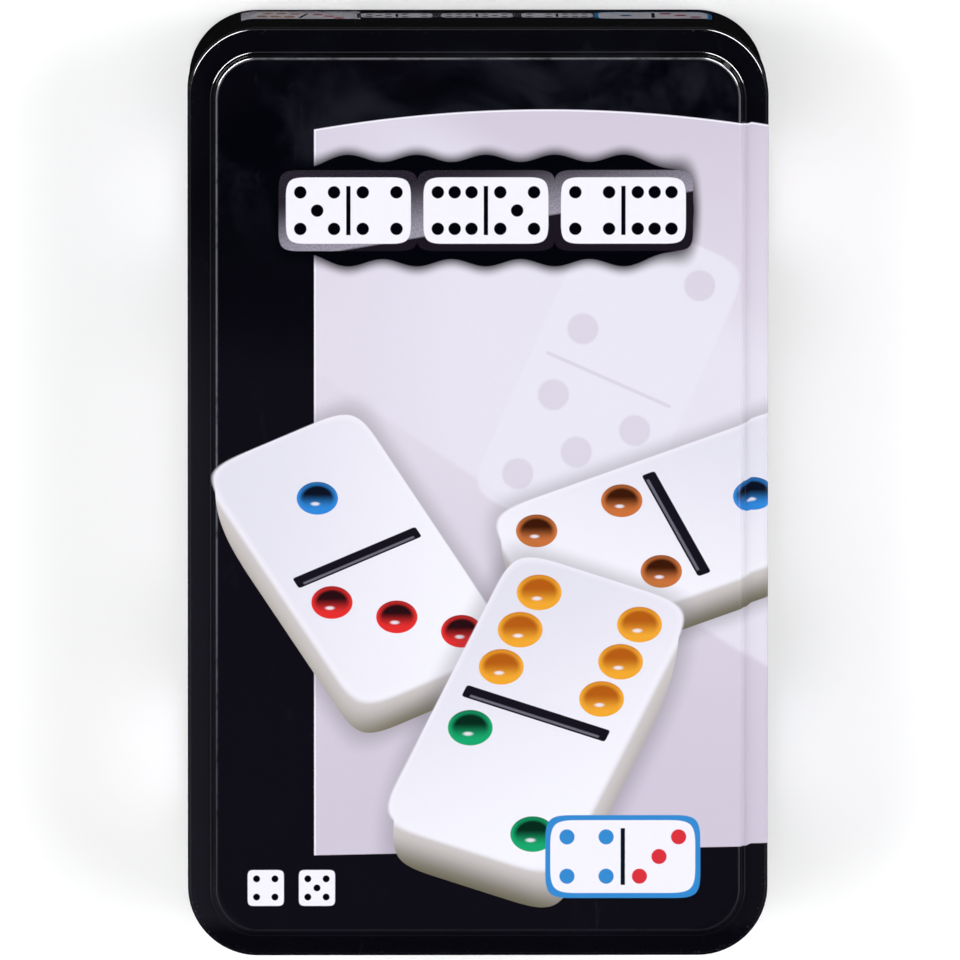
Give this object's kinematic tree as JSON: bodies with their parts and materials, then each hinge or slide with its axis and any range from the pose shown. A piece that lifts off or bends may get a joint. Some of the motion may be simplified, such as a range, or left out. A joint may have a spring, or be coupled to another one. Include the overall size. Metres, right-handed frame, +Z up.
{
  "type": "domino storage box",
  "caption": "Flat tin with a lift-off embossed lid over a necked body, holding a tray, a rules leaflet and two layers of domino tiles.",
  "frame": {"origin": "middle of the underside, on the surface the closed box stands on", "axes": "+Z up through the lid, +Y along the long side towards the top of the lid's print, +X across the short side"},
  "size_m": [0.12, 0.1934, 0.0395],
  "materials": {
    "lid_tinplate": "printed tinplate, gloss varnish",
    "body_tinplate": "printed tinplate, gloss varnish",
    "bottom_tinplate": "bare tinplate under clear lacquer",
    "tray_plastic": "vacuum-formed sheet, satin",
    "leaflet_paper": "folded printed paper",
    "tile_plastic": "polished, painted pips"
  },
  "bodies": {
    "box": {"body_wall": "body_tinplate", "bottom_panel": "bottom_tinplate"},
    "leaflet": {"rules_leaflet": "leaflet_paper"},
    "tray": {"tray": "tray_plastic"},
    "lower_tiles": {"tile_0_0": "tile_plastic", "tile_0_2": "tile_plastic", "tile_0_3": "tile_plastic", "tile_0_5": "tile_plastic", "tile_1_1": "tile_plastic", "tile_1_2": "tile_plastic", "tile_1_4": "tile_plastic", "tile_1_6": "tile_plastic", "tile_2_2": "tile_plastic", "tile_2_4": "tile_plastic", "tile_3_3": "tile_plastic", "tile_3_5": "tile_plastic", "tile_4_5": "tile_plastic", "tile_5_5": "tile_plastic"},
    "upper_tiles": {"tile_0_1": "tile_plastic", "tile_0_4": "tile_plastic", "tile_0_6": "tile_plastic", "tile_1_3": "tile_plastic", "tile_1_5": "tile_plastic", "tile_2_3": "tile_plastic", "tile_2_5": "tile_plastic", "tile_2_6": "tile_plastic", "tile_3_4": "tile_plastic", "tile_3_6": "tile_plastic", "tile_4_4": "tile_plastic", "tile_4_6": "tile_plastic", "tile_5_6": "tile_plastic", "tile_6_6": "tile_plastic"},
    "lid": {"lid": "lid_tinplate"}
  },
  "joints": [
    {"name": "leaflet_lift", "type": "slide", "parent": "box", "child": "leaflet", "axis": [0, 0, 1], "range_m": [0, 0.008]},
    {"name": "tray_lift", "type": "slide", "parent": "box", "child": "tray", "axis": [0, 0, 1], "range_m": [0, 0.05]},
    {"name": "lower_tiles_lift", "type": "slide", "parent": "tray", "child": "lower_tiles", "axis": [0, 0, 1], "range_m": [0, 0.04]},
    {"name": "upper_tiles_lift", "type": "slide", "parent": "lower_tiles", "child": "upper_tiles", "axis": [0, 0, 1], "range_m": [0, 0.03]},
    {"name": "lid_lift", "type": "slide", "parent": "upper_tiles", "child": "lid", "axis": [0, 0, 1], "range_m": [0, 0.1]}
  ]
}
